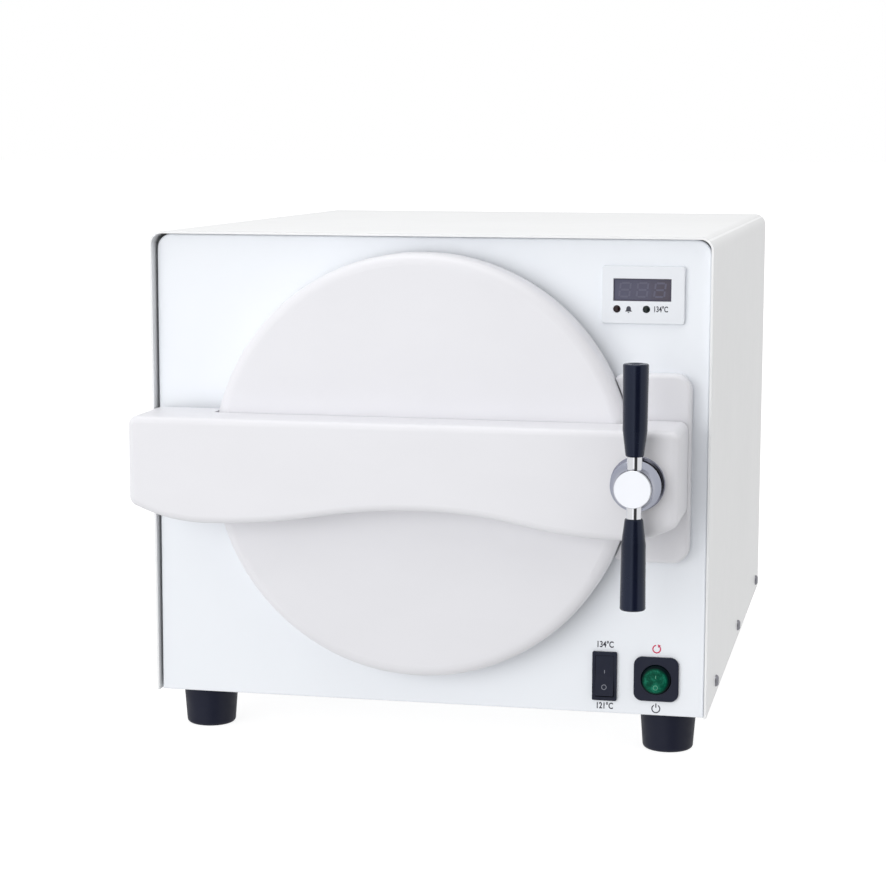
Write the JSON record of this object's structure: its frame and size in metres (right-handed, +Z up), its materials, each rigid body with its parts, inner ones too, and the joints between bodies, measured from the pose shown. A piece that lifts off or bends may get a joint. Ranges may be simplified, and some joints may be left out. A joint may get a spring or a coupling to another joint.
{
  "type": "benchtop autoclave",
  "caption": "White benchtop steam autoclave: sheet-metal case on rubber feet, round lid on a swinging cross beam, T-handle clamp, display, rocker switches and tray rack.",
  "frame": {"origin": "centre of the whole object's footprint, on the plane the feet stand on", "axes": "+Z up, front with the lid faces -Y, +X to the right seen from the front"},
  "size_m": [0.4046, 0.62, 0.3645],
  "materials": {
    "cover_paint": "satin powder coat, warm white",
    "panel_paint": "satin paint, cool white",
    "moulded_white": "satin moulded plastic",
    "display_grey": "satin moulded plastic",
    "dark_window": "gloss smoked acrylic",
    "black_rubber": "matte",
    "grip_black": "satin phenolic",
    "switch_black": "satin",
    "green_rocker": "translucent, gloss",
    "lamp_red": "unlit lamp",
    "chrome": "polished",
    "stainless": "brushed",
    "plated_steel": "zinc plated",
    "brass": "machined",
    "silicone": "matte, light",
    "mineral_wool": "fibrous",
    "element_steel": "heat-tinted",
    "circuit_board": "solder mask",
    "transformer_core": "lacquered laminations",
    "white_ceramic": "ceramic insulator"
  },
  "bodies": {
    "case": {"base_pan": "plated_steel", "front_panel": "panel_paint", "wrap_cover": "cover_paint", "back_panel": "cover_paint", "rubber_feet": "black_rubber", "foot_screws": "plated_steel", "cover_screws": "plated_steel", "back_panel_screws": "plated_steel", "mounting_plate": "plated_steel", "chamber_vessel": "stainless", "chamber_flange": "stainless", "insulation_jacket": "mineral_wool", "chamber_supports": "plated_steel", "heating_element": "element_steel", "heater_terminals": "white_ceramic", "temperature_probe": "stainless", "overheat_thermostat": "switch_black", "tray_rack": "stainless", "tray_lower": "stainless", "tray_middle": "stainless", "tray_upper": "stainless", "latch_block": "plated_steel", "latch_cover": "moulded_white", "hinge_bracket": "plated_steel", "hinge_screws": "plated_steel", "hinge_pin": "plated_steel", "hinge_washers": "brass", "display_bezel": "display_grey", "display_window": "dark_window", "display_board": "circuit_board", "indicator_leds": "lamp_red", "temperature_switch_body": "switch_black", "power_switch_body": "switch_black", "control_board": "circuit_board", "board_spacers": "white_ceramic", "transformer": "transformer_core", "mains_inlet": "switch_black", "inlet_pins": "brass", "fuse_holder": "switch_black", "drain_valve_body": "brass", "safety_valve_body": "brass", "steam_pipes": "stainless"},
    "door": {"clamp_beam": "plated_steel", "beam_cover": "moulded_white", "door_lid": "moulded_white", "lid_plate": "stainless", "lid_gasket": "silicone", "lid_stud": "plated_steel", "lid_stud_nut": "plated_steel", "clamp_bush": "brass", "spindle_rosette": "chrome"},
    "clamp_collar": {"thrust_washer": "brass"},
    "clamp_handle": {"clamp_spindle": "chrome", "handle_rod": "chrome", "handle_grips": "grip_black"},
    "power_rocker": {"power_rocker": "green_rocker"},
    "temperature_rocker": {"temperature_rocker": "switch_black"},
    "drain_knob": {"drain_valve_knob": "grip_black"},
    "safety_stem": {"safety_valve_stem": "plated_steel"},
    "fuse_cap": {"fuse_cap": "switch_black"}
  },
  "joints": [
    {"name": "door_swing", "type": "hinge", "parent": "case", "child": "door", "pos_m": [-0.178, -0.264, 0.2045], "axis": [0, 0, -1], "range_deg": [0, 95]},
    {"name": "clamp_advance", "type": "slide", "parent": "door", "child": "clamp_collar", "axis": [0, 1, 0], "range_m": [0, 0.00901]},
    {"name": "handle_turn", "type": "hinge", "parent": "clamp_collar", "child": "clamp_handle", "pos_m": [0.158, -0.3, 0.2045], "axis": [0, 1, 0], "range_deg": [0, 1080]},
    {"name": "power_switch_press", "type": "hinge", "parent": "case", "child": "power_rocker", "pos_m": [0.1647, -0.215, 0.0567], "axis": [1, 0, 0], "range_deg": [0, 14]},
    {"name": "temperature_switch_press", "type": "hinge", "parent": "case", "child": "temperature_rocker", "pos_m": [0.12845, -0.213, 0.0572], "axis": [1, 0, 0], "range_deg": [0, 14]},
    {"name": "drain_valve_turn", "type": "hinge", "parent": "case", "child": "drain_knob", "pos_m": [-0.12, 0.278, 0.1065], "axis": [0, 1, 0], "range_deg": [0, 540]},
    {"name": "safety_valve_pull", "type": "slide", "parent": "case", "child": "safety_stem", "axis": [0, 1, 0], "range_m": [0, 0.004], "stiffness_N_per_m": 1500},
    {"name": "fuse_cap_turn", "type": "hinge", "parent": "case", "child": "fuse_cap", "pos_m": [0.112, 0.278, 0.0755], "axis": [0, 1, 0], "range_deg": [0, 45]}
  ],
  "couplings": [
    {"joint": "clamp_advance", "follows": "handle_turn", "m_per_rad": 0.00047746}
  ]
}
